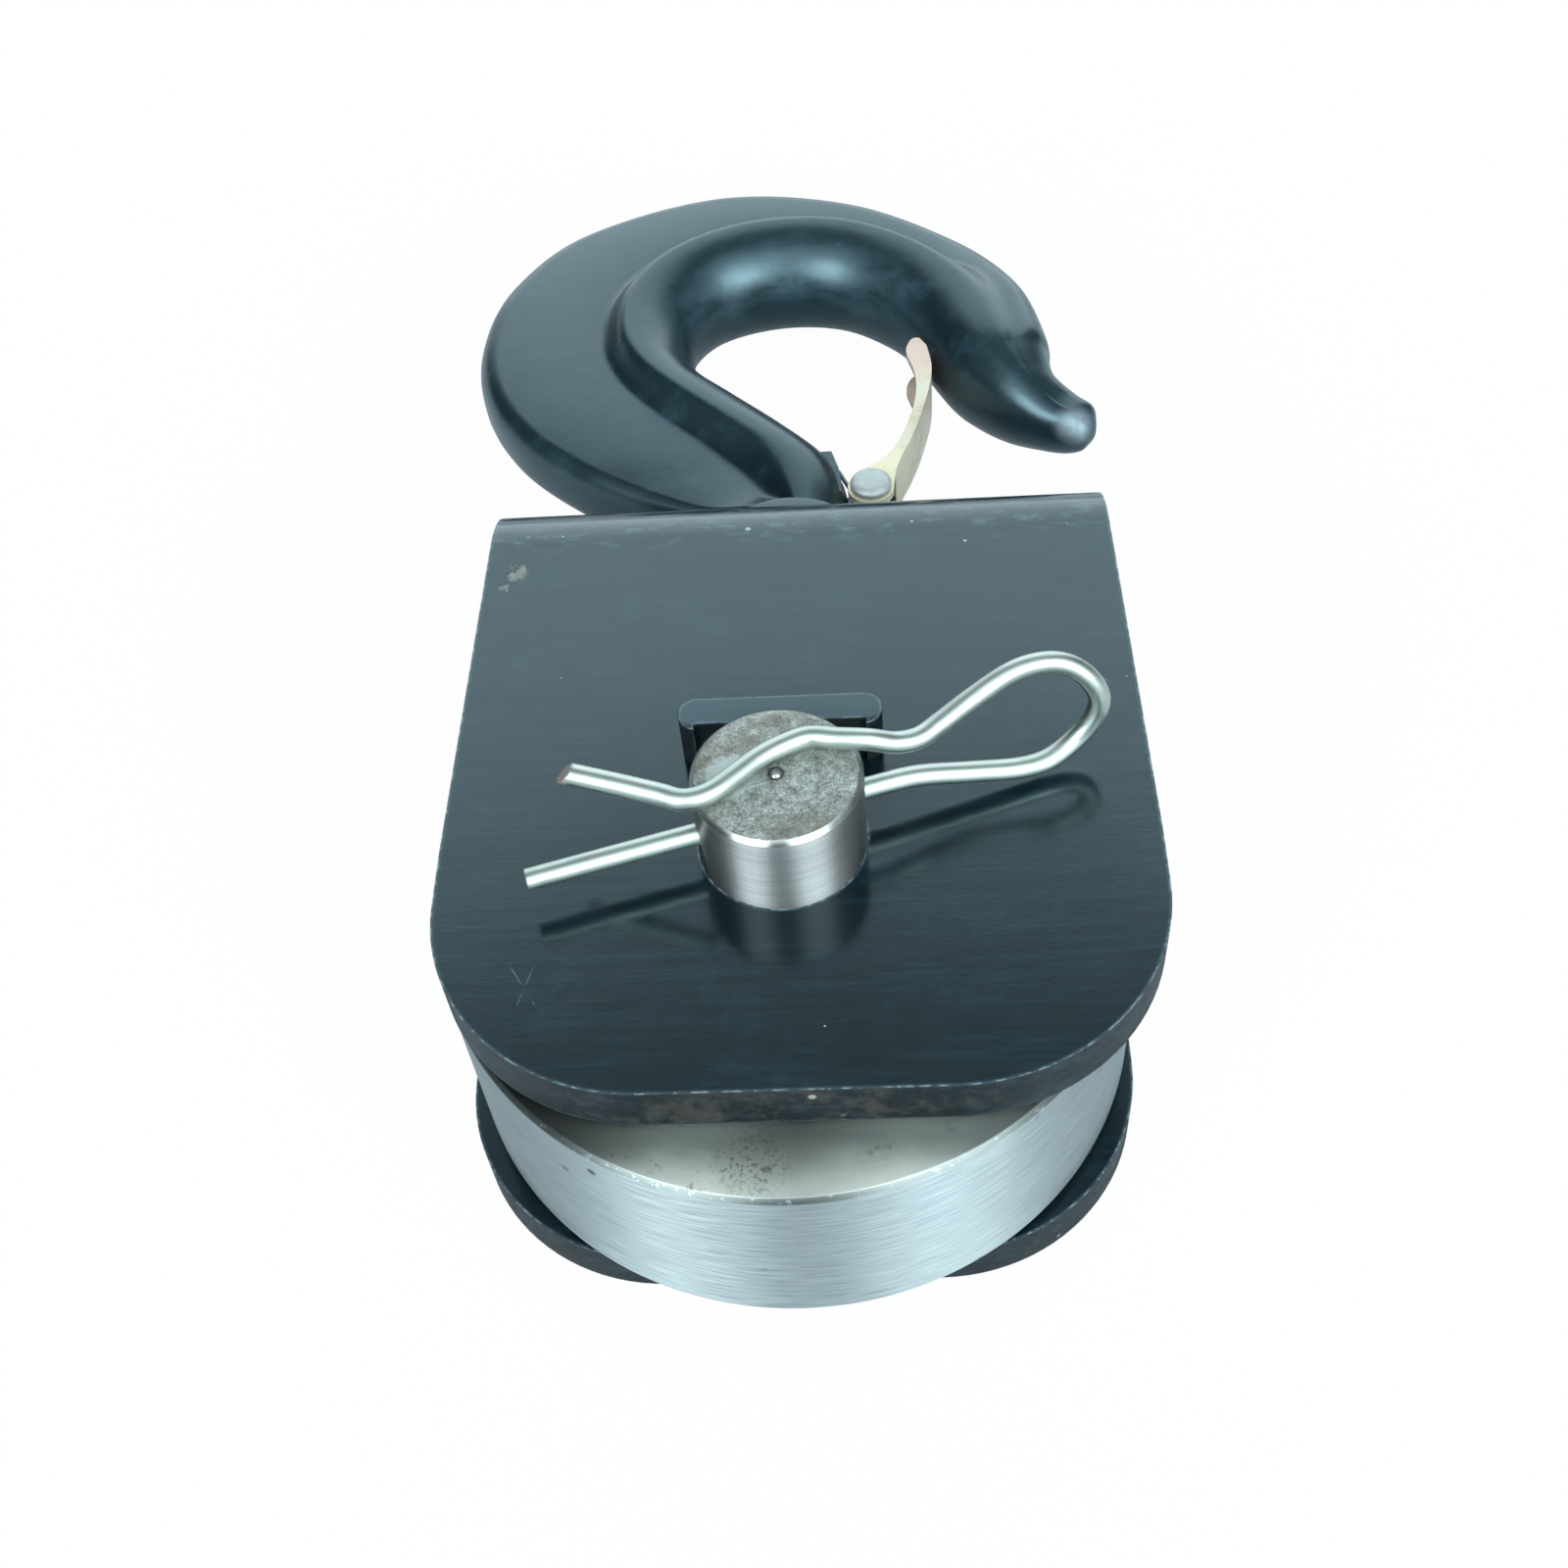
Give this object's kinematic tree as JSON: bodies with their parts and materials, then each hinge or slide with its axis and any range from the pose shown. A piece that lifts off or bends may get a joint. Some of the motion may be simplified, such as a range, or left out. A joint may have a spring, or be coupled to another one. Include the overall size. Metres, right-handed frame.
{
  "type": "snatch block",
  "caption": "Single-sheave snatch block: bent steel strap around a wide plain sheave on a clipped axle, with a swivel hook whose bowl is closed by a spring latch.",
  "frame": {"origin": "on the axle axis, in the plane of the back cheek's outer face", "axes": "+Z along the axle from the back cheek to the clip end, +Y from the axle to the hook, +X completes the right-handed frame"},
  "size_m": [0.1733, 0.3463, 0.1085],
  "materials": {
    "black_paint": "semi-gloss, chipped",
    "hook_paint": "semi-gloss",
    "sheave_steel": "turned",
    "axle_steel": "turned, weathered",
    "zinc_wire": "bright zinc",
    "latch_zinc": "yellow zinc",
    "fastener_steel": "satin",
    "bearing_steel": "ground",
    "bronze": "satin",
    "spring_steel": "blackened"
  },
  "bodies": {
    "frame": {"strap": "black_paint", "stop_lug": "black_paint", "front_bearing_inner_ring": "bearing_steel", "back_bearing_inner_ring": "bearing_steel", "bearing_sleeve": "fastener_steel", "front_side_washer": "fastener_steel", "back_side_washer": "fastener_steel", "hook_thrust_washer": "bronze"},
    "sheave": {"sheave": "sheave_steel", "front_bearing_outer_ring": "bearing_steel", "back_bearing_outer_ring": "bearing_steel", "front_bearing_shields": "bearing_steel", "back_bearing_shields": "bearing_steel", "front_retaining_ring": "spring_steel", "back_retaining_ring": "spring_steel"},
    "front_cage": {"front_bearing_balls": "bearing_steel", "front_bearing_cage": "bronze"},
    "back_cage": {"back_bearing_balls": "bearing_steel", "back_bearing_cage": "bronze"},
    "hook": {"hook": "hook_paint", "hook_nut": "fastener_steel", "nut_roll_pin": "fastener_steel", "latch_pin": "fastener_steel"},
    "latch": {"latch": "latch_zinc", "latch_spring": "spring_steel"},
    "axle": {"axle": "axle_steel"},
    "clip": {"spring_clip": "zinc_wire"}
  },
  "joints": [
    {"name": "sheave_spin", "type": "hinge", "parent": "frame", "child": "sheave", "pos_m": [0, 0, 0.0394], "axis": [0, 0, 1], "continuous": true},
    {"name": "front_cage_spin", "type": "hinge", "parent": "frame", "child": "front_cage", "pos_m": [0, 0, 0.0519], "axis": [0, 0, 1], "continuous": true},
    {"name": "back_cage_spin", "type": "hinge", "parent": "frame", "child": "back_cage", "pos_m": [0, 0, 0.0269], "axis": [0, 0, 1], "continuous": true},
    {"name": "hook_swivel", "type": "hinge", "parent": "frame", "child": "hook", "pos_m": [0, 0.107, 0.0394], "axis": [0, 1, 0], "continuous": true},
    {"name": "latch_pivot", "type": "hinge", "parent": "hook", "child": "latch", "pos_m": [0.0206, 0.1383, 0.0394], "axis": [0, 0, 1], "range_deg": [0, 45], "stiffness_Nm_per_rad": 0.15, "springref_deg": -34.38, "deforming": ["latch_spring"]},
    {"name": "axle_turn", "type": "hinge", "parent": "frame", "child": "axle", "pos_m": [0, 0, 0.09], "axis": [0, 0, 1], "range_deg": [-57, 24]},
    {"name": "clip_pull", "type": "slide", "parent": "axle", "child": "clip", "axis": [0.9588, 0.284, 0], "range_m": [0, 0.072], "deforming": ["spring_clip"]}
  ],
  "couplings": [
    {"joint": "front_cage_spin", "follows": "sheave_spin", "ratio": 0.6037},
    {"joint": "back_cage_spin", "follows": "sheave_spin", "ratio": 0.6037}
  ]
}
